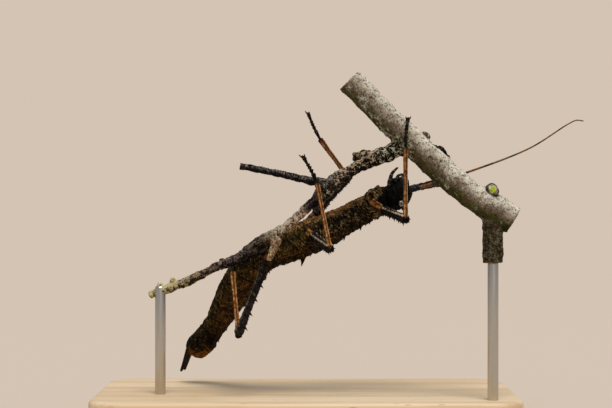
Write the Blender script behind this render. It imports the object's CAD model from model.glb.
import math

import bpy
import numpy as np
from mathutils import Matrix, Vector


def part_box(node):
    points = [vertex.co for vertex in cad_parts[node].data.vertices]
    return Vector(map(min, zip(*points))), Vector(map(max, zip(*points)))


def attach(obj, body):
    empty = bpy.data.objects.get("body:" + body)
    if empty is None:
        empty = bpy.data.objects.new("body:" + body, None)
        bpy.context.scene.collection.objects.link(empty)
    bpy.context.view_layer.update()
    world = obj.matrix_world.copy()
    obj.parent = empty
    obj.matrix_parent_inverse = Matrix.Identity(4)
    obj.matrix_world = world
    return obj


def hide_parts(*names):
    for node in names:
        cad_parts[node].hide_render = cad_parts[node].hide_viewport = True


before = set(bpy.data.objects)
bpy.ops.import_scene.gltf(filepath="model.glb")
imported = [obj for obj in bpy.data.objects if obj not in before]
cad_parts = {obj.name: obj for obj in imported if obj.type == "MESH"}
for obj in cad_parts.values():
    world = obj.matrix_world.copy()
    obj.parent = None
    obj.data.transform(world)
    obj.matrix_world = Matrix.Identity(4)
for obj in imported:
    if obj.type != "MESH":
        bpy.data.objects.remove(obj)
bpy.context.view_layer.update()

# A female thorny stick insect at life size. It hangs belly up under the fork of a cut
# branch, which two steel rods hold over a beech board. Metres, +Z up, head to +X and the
# insect's left side to -Y. Tables of body sizes are in millimetres, as they are measured.


# ==== display board ====
# A flat beech board that carries the rods. It is planed, its corners are rounded and its
# edges softened, and it is rubbed with oil, so the grain shows through a slight sheen.
MM = 0.001
BOARD_CORNER = 8 * MM
# up the edge: mm above the underside, and mm by which the outline is drawn in there
BOARD_EDGE = [(0.0, 0.9), (0.25, 0.3), (0.8, 0.0), (4.1, 0.0),
              (4.6, 0.18), (4.9, 0.55), (5.0, 1.0), (5.0, 1.3)]
CORNER_POINTS = 14
# the curve from a screen's colour to light: where its straight part ends, how steep that part
# is, and the offset and the power of the rest
SCREEN_STRAIGHT, SCREEN_SLOPE, SCREEN_OFFSET, SCREEN_POWER = 0.04045, 12.92, 0.055, 2.4
# a Mix node's sockets for colours: the share and the two colours that go in, and the one out
MIX_SHARE, MIX_FIRST, MIX_SECOND, MIX_OUT = 0, 6, 7, 2


class Socket:
    """One output inside a finish. Arithmetic on it adds the Math nodes that work it out."""

    def __init__(self, finish, output):
        self.finish = finish
        self.output = output

    def __add__(self, other):
        return self.finish.math("ADD", self, other)

    def __radd__(self, other):
        return self.finish.math("ADD", other, self)

    def __sub__(self, other):
        return self.finish.math("SUBTRACT", self, other)

    def __rsub__(self, other):
        return self.finish.math("SUBTRACT", other, self)

    def __mul__(self, other):
        return self.finish.math("MULTIPLY", self, other)

    def __pow__(self, other):
        return self.finish.math("POWER", self, other)


class Finish:
    """A material on one Principled shader, with the patterns that its colour is mixed from."""

    def __init__(self, name, **constants):
        self.material = bpy.data.materials.new(name)
        self.material.use_nodes = True
        self.tree = self.material.node_tree
        self.shader = self.tree.nodes["Principled BSDF"]
        for socket, value in constants.items():
            self.shader.inputs[socket.replace("_", " ")].default_value = value

    def node(self, kind, settings=None, sockets=None, output=0):
        """Adds a node: its settings first, then the values or links of its sockets."""
        node = self.tree.nodes.new(kind)
        for name, value in (settings or {}).items():
            if name == "stops":
                ramp = node.color_ramp.elements
                while len(ramp) < len(value):
                    ramp.new(1.0)
                for stop, (place, colour) in zip(ramp, value):
                    stop.position = place
                    stop.color = colour
            else:
                setattr(node, name, value)
        for name, value in (sockets or {}).items():
            self.feed(node.inputs[name], value)
        return Socket(self, node.outputs[output])

    def feed(self, socket, value):
        """Links a socket, or sets it where the value is plain."""
        if isinstance(value, Socket):
            self.tree.links.new(value.output, socket)
        else:
            socket.default_value = value

    def math(self, operation, *values):
        return self.node("ShaderNodeMath", {"operation": operation}, dict(enumerate(values)))

    def place(self, stretch=(1, 1, 1)):
        """The point on the piece, in metres, squeezed along each axis by stretch."""
        point = self.node("ShaderNodeTexCoord", output="Object")
        return self.node("ShaderNodeMapping", None, {"Vector": point, "Scale": stretch})

    def noise(self, size, detail=3, stretch=(1, 1, 1), roughness=0.5, warp=0.0):
        """Soft noise from 0 to 1 whose blotches are about size millimetres across."""
        sockets = {"Vector": self.place(stretch), "Scale": 1 / (size * MM), "Detail": detail,
                   "Roughness": roughness, "Distortion": warp}
        return self.node("ShaderNodeTexNoise", None, sockets)

    def cells(self, size, stretch=(1, 1, 1)):
        """Distance to the nearest of scattered dots about size millimetres apart."""
        sockets = {"Vector": self.place(stretch), "Scale": 1 / (size * MM)}
        return self.node("ShaderNodeTexVoronoi", None, sockets, "Distance")

    def tone(self, name):
        """A number kept on the mesh for each point."""
        return self.node("ShaderNodeAttribute", {"attribute_name": name}, output="Fac")

    def step(self, value, low, high):
        """0 below low and 1 above high, with a soft rise between; low may be the higher."""
        sockets = {"Value": value, "From Min": low, "From Max": high}
        return self.node("ShaderNodeMapRange", {"interpolation_type": "SMOOTHSTEP"}, sockets)

    def ramp(self, value, *stops):
        """The colour for a value, read between stops, each a place and a colour of 0 to 255."""
        stops = [(place, paint(*colour)) for place, colour in stops]
        return self.node("ShaderNodeValToRGB", {"stops": stops}, {"Fac": value})

    def mix(self, colour, other, share):
        """From one colour to another as share goes from 0 to 1."""
        sockets = {MIX_SHARE: share, MIX_FIRST: colour, MIX_SECOND: other}
        return self.node("ShaderNodeMix", {"data_type": "RGBA"}, sockets, MIX_OUT)

    def layers(self, colour, *layers):
        """A colour with others laid over it in turn, each given with how far it covers."""
        for other, share in layers:
            colour = self.mix(colour, other, share)
        return colour

    def shade(self, colour, roughness=None, height=None, depth=0.1, strength=1.0, **others):
        """Feeds the shader: colour, roughness, and a bump of depth millimetres."""
        self.feed(self.shader.inputs["Base Color"], colour)
        if roughness is not None:
            self.feed(self.shader.inputs["Roughness"], roughness)
        if height is not None:
            sockets = {"Height": height, "Distance": depth * MM, "Strength": strength}
            self.feed(self.shader.inputs["Normal"], self.node("ShaderNodeBump", None, sockets))
        for socket, value in others.items():
            self.feed(self.shader.inputs[socket.replace("_", " ")], value)
        return self


def paint(red, green, blue):
    """The light that a colour of 0 to 255 on a screen stands for, with full cover."""
    screen = np.array([red, green, blue]) / 255
    curved = ((screen + SCREEN_OFFSET) / (1 + SCREEN_OFFSET)) ** SCREEN_POWER
    light = np.where(screen < SCREEN_STRAIGHT, screen / SCREEN_SLOPE, curved)
    return (*map(float, light), 1.0)


def wrap(grid, **tones):
    """A closed shell over rings of points: quads join each ring to the next, and a fan to the
    middle of each end ring closes it. Rings turn counter-clockwise seen from the last one."""
    rows, columns, _ = grid.shape
    ring = np.arange(rows - 1)[:, None] * columns
    here, beside = np.arange(columns), np.roll(np.arange(columns), -1)
    quads = np.stack([ring + here, ring + beside, ring + columns + beside, ring + columns + here], -1)
    last = (rows - 1) * columns
    hubs = np.full((2, columns), [[rows * columns], [rows * columns + 1]])
    fans = np.stack([hubs, [beside, last + here], [here, last + beside]], -1)
    points = np.vstack([grid.reshape(-1, 3), grid[[0, -1]].mean(1)])
    tones = {name: np.append(tone.ravel(), tone[[0, -1]].mean(1)) for name, tone in tones.items()}
    return {"points": points, "quads": quads.reshape(-1, 4), "fans": fans.reshape(-1, 3), "tones": tones}


def join(shells):
    """Several shells as one set of points and faces. A tone that a shell lacks is 0 there."""
    starts = np.cumsum([0] + [len(shell["points"]) for shell in shells])
    names = sorted({name for shell in shells for name in shell["tones"]})
    return {
        "points": np.vstack([shell["points"] for shell in shells]),
        "quads": np.vstack([shell["quads"] + start for shell, start in zip(shells, starts)]),
        "fans": np.vstack([shell["fans"] + start for shell, start in zip(shells, starts)]),
        "tones": {name: np.concatenate([shell["tones"].get(name, np.zeros(len(shell["points"])))
                                        for shell in shells]) for name in names},
    }


def mesh_of(name, shell):
    """A smooth-shaded mesh from a shell's arrays."""
    corners = np.concatenate([shell["quads"].ravel(), shell["fans"].ravel()])
    sizes = np.repeat([4, 3], [len(shell["quads"]), len(shell["fans"])])
    mesh = bpy.data.meshes.new(name)
    mesh.vertices.add(len(shell["points"]))
    mesh.vertices.foreach_set("co", shell["points"].astype(np.float32).ravel())
    mesh.loops.add(len(corners))
    mesh.loops.foreach_set("vertex_index", corners.astype(np.int32))
    mesh.polygons.add(len(sizes))
    mesh.polygons.foreach_set("loop_start", (np.cumsum(sizes) - sizes).astype(np.int32))
    mesh.polygons.foreach_set("use_smooth", np.ones(len(sizes), bool))
    mesh.update(calc_edges=True)
    for tone, values in shell["tones"].items():
        mesh.attributes.new(tone, "FLOAT", "POINT").data.foreach_set("value", values.astype(np.float32))
    return mesh


def piece(name, shells, finish, slot, *nodes):
    """Adds a piece of one or more shells. It stands for the nodes that are named."""
    made = bpy.data.objects.new(name, mesh_of(name, join(shells)))
    bpy.context.scene.collection.objects.link(made)
    made.data.materials.append(finish.material)
    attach(made, "root")
    if nodes:
        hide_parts(*nodes)


def board(low, high):
    """A rounded rectangle at each height of the edge's profile: four corner arcs, whose centres
    stay put as the outline draws in."""
    turn = np.linspace(0, math.pi / 2, CORNER_POINTS)
    turns = np.concatenate([turn + quarter * math.pi / 2 for quarter in range(4)])
    middle = (low + high) / 2
    reach = (high - low) / 2 - BOARD_CORNER
    signs = np.repeat([(1, 1), (-1, 1), (-1, -1), (1, -1)], CORNER_POINTS, axis=0)
    profile = np.array(BOARD_EDGE) * MM
    radius = BOARD_CORNER - profile[:, 1]
    arcs = np.stack([np.cos(turns), np.sin(turns)], -1)
    flat = middle[:2] + signs * reach[:2] + radius[:, None, None] * arcs
    level = np.broadcast_to(low[2] + profile[:, 0, None, None], (*flat.shape[:2], 1))
    return wrap(np.concatenate([flat, level], -1))


def beech():
    """Straight grain with slow waves, short dark flecks and fine pores."""
    wood = Finish("oiled_beech", Coat_Roughness=0.35, Specular_IOR_Level=0.4)
    waves = wood.noise(6, 2, (0.08, 1, 1), warp=0.6)
    grain = wood.noise(0.7, 4, (0.03, 1, 1))
    flecks = wood.step(wood.cells(1.6, (0.22, 1, 1)), 0.16, 0.08)
    colour = wood.layers(
        paint(208, 178, 138),
        (paint(226, 201, 165), wood.step(waves, 0.3, 0.7)),
        (paint(186, 150, 108), wood.step(grain, 0.5, 0.72) * 0.45),
        (paint(160, 118, 78), flecks * 0.5),
    )
    return wood.shade(colour, 0.42 + grain * 0.2, grain - flecks * 0.6, 0.05, 0.5)


base_low, base_high = (np.array(corner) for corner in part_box("stand_base"))
piece("display_board", [board(base_low, base_high)], beech(), "base_wood", "stand_base")


# ==== rods ====
# Two straight steel rods, brushed lengthwise. Each is glued into a blind hole in the board
# and into one in the underside of the branch, so no fitting shows.
ROD_SIDES = 40
ROD_INTO_BARK = 0.5 * MM
ROD_FOOT = 0.35 * MM  # height over which the foot widens
ROD_WIDTHS = np.array([0.8, 1, 1, 0.9])  # at the foot, above it, at the bark and in it


def full_turn(sides):
    """Angles spaced evenly round a circle, from 0."""
    return np.linspace(0, 2 * math.pi, sides, endpoint=False)


def rod(low, high):
    """A circle of the rod's radius at each height, drawn in at both ends."""
    middle = (low + high) / 2
    radius = (high[0] - low[0]) / 2
    heights = np.array([low[2], low[2] + ROD_FOOT, high[2], high[2] + ROD_INTO_BARK])
    turns = full_turn(ROD_SIDES)
    circle = np.stack([np.cos(turns), np.sin(turns)], -1)
    flat = middle[:2] + (ROD_WIDTHS * radius)[:, None, None] * circle
    level = np.broadcast_to(heights[:, None, None], (*flat.shape[:2], 1))
    return wrap(np.concatenate([flat, level], -1))


def brushed_steel():
    """Fine lengthwise scratches that change the gloss and roughen the surface."""
    steel = Finish("brushed_steel", Metallic=1.0)
    scratches = steel.noise(0.12, 3, (1, 1, 0.02))
    smears = steel.noise(5, 2)
    colour = steel.mix(paint(176, 172, 165), paint(206, 203, 197), scratches)
    return steel.shade(colour, 0.22 + scratches * 0.16 + smears * 0.1, scratches, 0.01, 0.6)


STEEL = brushed_steel()
for side in ("left", "right"):
    rod_low, rod_high = (np.array(corner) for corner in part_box(f"stand_rod_{side}"))
    piece(f"rod_{side}", [rod(rod_low, rod_high)], STEEL, "rod_metal", f"stand_rod_{side}")


# ==== branch ====
# A cut length of living branch with the thin twig that forks from it. Grey bark with pale
# lichen, dark pores and knobs covers it, and the sawn ends show pale wood. It is one
# grown piece: the stems run into each other without a joint.
# each stem's bends, in mm, and its half width there
STEMS = {
    "branch": [(10, -21, 78.5, 3.0), (20, -21, 68.3, 3.05), (27, -21, 61.6, 3.2), (33.8, -21, 55.4, 3.1),
               (39.3, -21, 51.1, 3.15), (43.5, -21, 48.6, 3.5), (47.5, -21, 46.3, 3.2)],
    "twig": [(23, -21, 63, 1.6), (16.5, -20.8, 60.8, 1.85), (11, -20.4, 58, 1.35),
             (6.4, -19.9, 54.8, 1.95), (1.4, -18.2, 50.1, 1.15), (-5.2, -14.6, 44.4, 1.12),
             (-10.5, -13.2, 41.1, 1.5), (-15.5, -12.5, 37.5, 1.3), (-21.2, -11.4, 35.1, 0.95),
             (-28.3, -10, 31.6, 1.05), (-37, -7.6, 28.5, 1.0)],
    "down_stub": [(42.9, -21, 50, 2.6), (42.8, -21, 44, 2.35), (42.9, -21, 36.5, 2.3)],
    "dark_stub": [(6, -19.8, 54.6, 1.2), (-0.2, -19.6, 55.6, 0.88), (-4.8, -19.4, 56.7, 0.82),
                  (-15.2, -18.8, 58.8, 0.76)],
    "broken_stub": [(16, -20.8, 60.6, 1.4), (13.5, -20.6, 61.2, 1.1), (10.9, -20.5, 61, 0.85)],
    "snag": [(-7.4, -13.8, 43, 1.0), (-7.2, -15, 40.8, 1.0), (-8.1, -15.4, 38.6, 0.8),
             (-8.7, -15.6, 36.8, 0.65)],
}
# the middle and the radius of each knob, bud and forking
KNOBS = [(42.2, -21.2, 52.6, 1.9), (27.2, -20.6, 65.2, 1.2), (-34.6, -8.4, 30.6, 0.8),
         (-31.4, -9.2, 31.9, 0.7), (-7, -14.8, 41.2, 1.3)]
BUDS = {"bud": ((42.9, -22.6, 53.4), 1.05), "scar": ((27.7, -21.4, 66.1), 0.7)}
FORKS = [((21, -21, 62.5), 5.0), ((4.4, -19.6, 54.2), 2.8)]
# which ends of a stem are sawn, how thick the face of sawn wood is, and its rim of bark
SAWN_ENDS = {"branch": (0, -1), "twig": (-1,), "down_stub": (-1,), "dark_stub": (-1,)}
SAWN_DEPTH, SAWN_RIM = 0.16, 0.12
STEM_BLEND = 0.35  # mm over which one stem's bark passes into another's
BARK_VOXEL = 0.19
STEM_SIDES = 36
SPLINE_STEPS = 24
KNOB_RINGS, KNOB_SIDES = 24, 32
RIPPLE_WAVES = 18
UPWARD = np.array([0.0, 0.0, 1.0])
# large unlike numbers that turn a cell of a lattice into three random-looking ones
SCATTER = np.array([[127.1, 269.5, 419.2], [311.7, 183.3, 371.9], [74.7, 246.1, 133.4]])
SCATTER_SPREAD = 43758.5453
SMOOTHING = (0.6, -0.58)  # a round of smoothing moves points in, then back out


def unit(vectors):
    """Each vector, made 1 long."""
    return vectors / np.linalg.norm(vectors, axis=-1, keepdims=True)


def bend(knots, count):
    """A smooth line through knots, at count even steps: a centripetal Catmull-Rom curve, taken
    finely and then spaced again by its length. A fourth column, a radius, is carried along."""
    knots = np.asarray(knots, float)
    ends = np.vstack([2 * knots[0] - knots[1], knots, 2 * knots[-1] - knots[-2]])
    gaps = np.linalg.norm(np.diff(ends[:, :3], axis=0), axis=1)[:, None] ** 0.5
    first, second, third = gaps[:-2], gaps[1:-1], gaps[2:]
    a, b, c, d = ends[:-3], ends[1:-2], ends[2:-1], ends[3:]
    rise = c - b
    start = ((b - a) / first - (c - a) / (first + second) + rise / second) * second
    finish = (rise / second - (d - b) / (second + third) + (d - c) / third) * second
    t = np.linspace(0, 1, SPLINE_STEPS, endpoint=False)[:, None, None]
    line = b + t * start + t**2 * (3 * rise - 2 * start - finish) + t**3 * (start + finish - 2 * rise)
    line = np.vstack([line.transpose(1, 0, 2).reshape(-1, knots.shape[1]), knots[-1]])
    length = np.append(0, np.cumsum(np.linalg.norm(np.diff(line[:, :3], axis=0), axis=1)))
    even = np.linspace(0, length[-1], count)
    return np.column_stack([np.interp(even, length, column) for column in line.T])


def axes(line, wanted):
    """Directions along a line: forwards from its steps, then the one square to it that lies
    nearest to the wanted one, then the one square to both."""
    forward = unit(np.gradient(line, axis=0))
    edge = unit(wanted - (forward @ wanted)[:, None] * forward)
    return forward, edge, np.cross(forward, edge)


def tube(line, edge_radius, flank_radius, wanted, sides):
    """An oval at each point of a line: its half sizes, one per point or one per point and
    side, are laid along the edge and flank directions."""
    _, edge, flank = axes(line, wanted)
    turns = full_turn(sides)
    across = np.reshape(edge_radius, (len(line), -1)) * np.cos(turns)
    over = np.reshape(flank_radius, (len(line), -1)) * np.sin(turns)
    return line[:, None] + across[..., None] * edge[:, None] + over[..., None] * flank[:, None]


def ripple(points, size, seed):
    """Smooth seeded lumps of about size across, from -1 to 1 or so: a sum of plane waves in
    random directions, each with its own length and start."""
    random = np.random.default_rng(seed)
    ways = unit(random.normal(size=(RIPPLE_WAVES, 3)))
    ways /= size * random.uniform(0.7, 1.6, (RIPPLE_WAVES, 1))
    starts = random.uniform(size=RIPPLE_WAVES)
    return np.cos(2 * math.pi * (points @ ways.T + starts)).sum(-1) / math.sqrt(RIPPLE_WAVES)


def grains(points, size, seed):
    """Distance to the nearest of seeded dots, one in each cell of a lattice, in cells, and a
    random number that goes with that dot."""
    place = points / size
    cell = np.floor(place)
    nearest = np.full(points.shape[:-1], np.inf)
    number = np.zeros(points.shape[:-1])
    for corner in np.ndindex(3, 3, 3):
        there = cell + np.array(corner) - 1
        random = np.modf(np.abs(np.sin(there @ SCATTER + seed)) * SCATTER_SPREAD)[0]
        gap = np.linalg.norm(there + random - place, axis=-1)
        number = np.where(gap < nearest, random[..., 0], number)
        nearest = np.minimum(gap, nearest)
    return nearest, number


def hump(value, place, width):
    """1 at a place, falling to 0 about two widths away, as a bell curve."""
    return np.exp(-(((value - place) / width) ** 2))


def rise_over(value, low, high):
    """0 below low and 1 above high, with a soft rise between."""
    t = np.clip((value - low) / (high - low), 0, 1)
    return t * t * (3 - 2 * t)


def ball(centre, radius):
    """A circle of radius times the sine of the angle from the pole, at each angle."""
    polar = np.linspace(0.02, math.pi - 0.02, KNOB_RINGS)
    line = np.array(centre) - radius * np.cos(polar)[:, None] * UPWARD
    around = radius * np.sin(polar)
    return tube(line, around, around, np.array([1.0, 0, 0]), KNOB_SIDES)


def fused(shells, voxel):
    """The outer skin of shells that run into each other, as points, quads and edges, from a
    voxel remesh."""
    rough = bpy.data.objects.new("rough", mesh_of("rough", join(shells)))
    bpy.context.scene.collection.objects.link(rough)
    remesh = rough.modifiers.new("fuse", "REMESH")
    remesh.mode = "VOXEL"
    remesh.voxel_size = voxel
    mesh = rough.evaluated_get(bpy.context.evaluated_depsgraph_get()).to_mesh()
    points = np.empty(len(mesh.vertices) * 3)
    mesh.vertices.foreach_get("co", points)
    corners = np.empty(len(mesh.loops), np.int32)
    mesh.loops.foreach_get("vertex_index", corners)
    edges = np.empty(len(mesh.edges) * 2, np.int32)
    mesh.edges.foreach_get("vertices", edges)
    rough_mesh = rough.data
    bpy.data.objects.remove(rough)
    bpy.data.meshes.remove(rough_mesh)
    return points.reshape(-1, 3), corners.reshape(-1, 4), edges.reshape(-1, 2)


def relaxed(points, edges, rounds):
    """Each point moves to the mean of its neighbours and back out by a little less, round after
    round, which takes off the steps of the voxels but keeps the girth."""
    start, end = edges.T
    count = np.bincount(edges.ravel(), minlength=len(points))[:, None]
    for share in SMOOTHING * rounds:
        total = np.column_stack([
            np.bincount(start, points[end, axis], len(points))
            + np.bincount(end, points[start, axis], len(points))
            for axis in range(3)])
        points = points + share * (total / count - points)
    return points


def outward(points, quads):
    """The mean direction of the faces round each point."""
    a, b, c, d = (points[quads[:, corner]] for corner in range(4))
    face = np.cross(c - a, d - b)
    total = np.column_stack([sum(np.bincount(quads[:, corner], face[:, axis], len(points))
                                 for corner in range(4)) for axis in range(3)])
    return unit(total)


def gaps_to(points, line):
    """How far each point is from every second step of a line."""
    return np.linalg.norm(points[:, None] - line[None, ::2, :3], axis=-1)


def sawn_faces(points, lines):
    """1 on the face of wood that the saw left at the end of a stem, and 0 elsewhere."""
    sawn = np.zeros(len(points))
    for name, ends in SAWN_ENDS.items():
        line = lines[name]
        for end in ends:
            inwards = unit(line[1 if end == 0 else -2, :3] - line[end, :3])
            away = points - line[end, :3]
            depth = away @ inwards
            aside = np.linalg.norm(away - depth[:, None] * inwards, axis=1)
            sawn = np.maximum(sawn, (np.abs(depth) < SAWN_DEPTH) & (aside < line[end, 3] - SAWN_RIM))
    return sawn


def branch_shell():
    """The stems' tubes fused, with knobs. Bark is laid on along the surface's own directions:
    lumps, pores and raised specks. Tones say how far a point belongs to each stem."""
    lines = {name: bend(knots, 60 + 3 * len(knots) ** 2) for name, knots in STEMS.items()}
    shells = [wrap(tube(line[:, :3], line[:, 3], line[:, 3], UPWARD, STEM_SIDES))
              for line in lines.values()]
    shells += [wrap(ball(knob[:3], knob[3])) for knob in KNOBS]
    points, quads, edges = fused(shells, BARK_VOXEL)
    points = relaxed(points, edges, 3)

    gaps = np.column_stack([(gaps_to(points, line) - line[::2, 3]).min(1) for line in lines.values()])
    share = np.exp(-np.maximum(gaps, 0) / STEM_BLEND)
    share /= share.sum(1, keepdims=True)
    belongs = dict(zip(lines, share.T))
    sawn = sawn_faces(points, lines)
    reach = gaps_to(points, lines["twig"]).argmin(1) * 2 / len(lines["twig"])
    fork = sum(hump(np.linalg.norm(points - centre, axis=1), 0, size) for centre, size in FORKS)

    thin = (belongs["twig"] + belongs["broken_stub"]) * (1.15 - 0.75 * rise_over(reach, 0.2, 0.4))
    lumps = 0.10 * ripple(points, 2.6, 3) + 0.05 * ripple(points, 1.1, 4)
    ridges = 0.10 * ripple(points, 1.7, 5) + 0.07 * np.maximum(ripple(points, 0.8, 6), 0)
    near, chance = grains(points, 0.62, 7.0)
    specks = np.clip(1 - near / 0.55, 0, 1) * (chance > 0.45) * 0.11
    dots, lot = grains(points, 1.5, 11.0)
    pores = -np.clip(1 - dots / 0.26, 0, 1) * (lot > 0.4) * 0.16
    rims, filled = np.zeros(len(points)), {}
    for name, (centre, size) in BUDS.items():
        away = np.linalg.norm(points - centre, axis=1)
        rims += 0.3 * hump(away, 1.4 * size, 0.35 * size) - 0.25 * hump(away, 0.95 * size, 0.2 * size)
        filled[name] = 1 - rise_over(away, 0.8 * size, 0.95 * size)
    bare = (1 - sawn) * (1 - sum(filled.values()))

    facing = outward(points, quads)
    height = (lumps + (thin + fork) * ridges + specks + pores) * bare + rims
    points = points + facing * height[:, None]
    tones = {**belongs, **filled, "sawn": sawn, "speck": specks * 9, "pore": -pores * 6, "reach": reach,
             "fork": fork, "facing": facing[:, 2] / 2 + 0.5, "rim": np.clip(rims * 8, 0, 1)}
    return {"points": points * MM, "quads": quads, "fans": np.empty((0, 3), int), "tones": tones}


# How the twig's bark changes from the fork to its far end: the dark and the light tint there.
TWIG_DARK = [(0.0, (10, 6, 3)), (0.17, (18, 10, 5)), (0.29, (30, 20, 12)), (0.32, (12, 8, 10)),
             (0.37, (12, 8, 10)), (0.4, (98, 78, 62)), (0.5, (66, 50, 38)), (0.57, (12, 8, 5)),
             (0.7, (16, 11, 9)), (0.8, (34, 24, 18)), (0.9, (44, 34, 18)), (1.0, (58, 48, 22))]
TWIG_LIGHT = [(0.0, (176, 164, 132)), (0.17, (196, 170, 136)), (0.29, (166, 148, 130)),
              (0.32, (62, 50, 52)), (0.37, (62, 50, 52)), (0.4, (214, 192, 172)),
              (0.5, (208, 192, 168)), (0.57, (98, 82, 66)), (0.7, (96, 82, 76)),
              (0.8, (128, 106, 92)), (0.9, (188, 172, 128)), (1.0, (206, 194, 144))]


def bark():
    """Grey bark, palest on top and olive below, with lichen flecks and dark pores. It is black
    and green-white at the fork, ochre and black on the twig, and purple-black with pale
    blotches on the dark stub."""
    skin = Finish("lichened_bark", Specular_IOR_Level=0.08)
    broad = skin.noise(5, 3)
    patches = skin.noise(3.2, 3, roughness=0.6)
    middling = skin.noise(1.1, 3, roughness=0.6)
    fine = skin.noise(0.4, 4, roughness=0.65)
    grit = skin.noise(0.22, 2)
    streaks = skin.noise(0.3, 3, (1, 0.35, 0.35), roughness=0.7)
    dots = skin.step(skin.cells(0.75), 0.24, 0.12)
    flakes = skin.step(fine * 0.6 + grit * 0.4, 0.53, 0.6)
    facing, reach = skin.tone("facing"), skin.tone("reach")
    grain = middling * 0.35 + fine * 0.4 + grit * 0.25

    weathered = skin.ramp(facing + (broad - 0.5) * 0.45, (0.08, (42, 44, 13)), (0.28, (80, 77, 36)),
                          (0.42, (112, 98, 76)), (0.56, (148, 134, 115)), (0.68, (202, 192, 173)),
                          (0.8, (222, 214, 196)))
    grime = skin.ramp(facing, (0.1, (22, 18, 7)), (0.6, (86, 72, 56)))
    grey = skin.layers(
        weathered,
        (grime, skin.step(grain, 0.51, 0.44) * 0.85),
        (paint(206, 200, 184), flakes * skin.step(facing, 0.25, 0.6) * 0.7),
        (paint(94, 78, 64), skin.step(patches, 0.52, 0.64) * skin.step(facing, 0.9, 0.5) * 0.6),
        (paint(212, 208, 194), skin.step(patches, 0.45, 0.36) * skin.step(fine, 0.42, 0.56) * 0.7),
        (paint(30, 24, 18), dots * 0.8),
    )

    dark, light = (skin.ramp(reach + (broad - 0.5) * 0.06, *stops) for stops in (TWIG_DARK, TWIG_LIGHT))
    paler = skin.step(reach, 0.37, 0.41) * skin.step(reach, 0.57, 0.53) + skin.step(reach, 0.84, 0.9)
    tilt = facing * 0.08 + paler * 0.035 - skin.step(reach, 0.3, 0.24) * 0.025
    ochre = skin.step(middling - facing * 0.1, 0.5, 0.58) * skin.step(reach, 0.74, 0.84) * 0.7
    brown = skin.layers(
        dark,
        (light, skin.step(grain + tilt, 0.53, 0.585)),
        (paint(142, 128, 82), ochre),
    )

    lichen = skin.ramp(grain, (0.485, (4, 2, 1)), (0.515, (50, 44, 28)), (0.555, (205, 203, 170)))
    purple = skin.ramp(grain, (0.46, (8, 6, 7)), (0.53, (34, 28, 30)), (0.6, (74, 66, 60)))
    blotches = skin.step(streaks, 0.54, 0.64) * skin.step(facing, 0.45, 0.8) * 0.7
    drab = skin.ramp(grain, (0.44, (20, 15, 5)), (0.51, (58, 48, 28)), (0.6, (104, 96, 68)))
    pale = skin.ramp(grain, (0.44, (54, 32, 18)), (0.5, (138, 108, 80)), (0.59, (212, 186, 146)))
    colour = skin.layers(
        grey,
        (brown, skin.tone("twig") + skin.tone("broken_stub")),
        (lichen, skin.step(skin.tone("fork") + (middling - 0.5) * 0.9, 0.35, 0.75) * 0.9),
        (skin.mix(purple, paint(176, 168, 156), blotches), skin.tone("dark_stub")),
        (drab, skin.tone("down_stub")),
        (pale, skin.tone("snag")),
        (paint(206, 198, 180), skin.tone("speck") * 0.45 * skin.step(facing, 0.3, 0.7)),
        (paint(14, 11, 8), skin.tone("pore")),
        (skin.ramp(grain, (0.45, (22, 13, 7)), (0.6, (92, 66, 42))), skin.tone("rim") * 0.95),
        (skin.ramp(fine, (0.4, (120, 138, 24)), (0.6, (196, 208, 62))), skin.tone("bud")),
        (skin.ramp(fine, (0.4, (30, 27, 12)), (0.6, (78, 72, 42))), skin.tone("scar")),
        (skin.mix(paint(176, 142, 96), paint(206, 178, 134), skin.noise(0.5, 2)), skin.tone("sawn")),
    )
    return skin.shade(colour, 0.8 + fine * 0.18, grain + flakes * 0.3 - dots * 0.5, 0.14, 0.9)


piece("branch", [branch_shell()], bark(), "bark", "perch")


# ==== body ====
# The insect from the front of its head to the last ring of its abdomen: one tough skin of
# plates that overlap to the rear. It is warty, with thorns in pairs on the back, a blunt
# keel down each side, and a raised rim round each eye, feeler and leg where it is hinged.
NECK = np.array([19.0, -6.0, 51.0])
HEAD_TILT = 15
# mm behind the neck, degrees below level, degrees to the right, half width, depth to the
# belly and depth to the back
DROP, TURN, HALF_WIDTH, TO_BELLY, TO_BACK = range(1, 6)
BODY = np.array([
    (-6.6, 15, 0, 0.15, 0.5, 0.2), (-6.35, 15, 0, 0.8, 1.5, 0.6), (-5.9, 15, 0, 1.6, 2.8, 1.2),
    (-5.1, 15, 0, 2.4, 3.8, 1.9), (-4.0, 15, 0, 2.85, 4.1, 2.65), (-2.8, 15, 0, 2.95, 3.6, 3.1),
    (-1.4, 15, 0, 2.75, 3.1, 3.0), (-0.3, 17, 0, 2.25, 3.1, 2.4), (0, 20, 0, 2.3, 3.35, 2.55),
    (2, 22, 0, 2.9, 3.35, 3.4), (4, 25, 0, 3.0, 3.0, 3.3), (10, 28, 0, 3.4, 3.1, 3.5),
    (15, 26, 0, 3.9, 3.5, 4.0), (20, 21, 0, 4.3, 3.8, 4.3), (26, 20, 0, 4.6, 3.9, 4.4),
    (32, 34, 20, 4.8, 3.8, 3.75), (38, 43, 43, 4.8, 3.7, 4.0), (46, 43, 56, 4.3, 3.4, 3.8),
    (50, 42, 59, 3.9, 2.75, 3.3), (54, 41, 60, 3.5, 2.4, 3.0), (58, 40, 56, 3.1, 2.2, 2.75),
    (62, 40, 50, 3.2, 2.5, 2.95), (66, 41, 46, 3.3, 2.85, 3.35), (71, 41, 44, 2.6, 2.6, 2.4),
])
BODY_ENDS = (-6.58, 69.75)
BODY_RINGS, BODY_SIDES = 640, 140
REAR_ROUNDING = 1.3  # mm over which the last ring rounds off
TRACK_STEP = 0.1  # mm between the points that the body's middle line is summed from
# mm behind the neck
PLATE_ENDS = [0, 4.2, 20.4, 29.3, 32, 37.4, 42.8, 48.2, 53.6, 59.0, 64.4]
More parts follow.
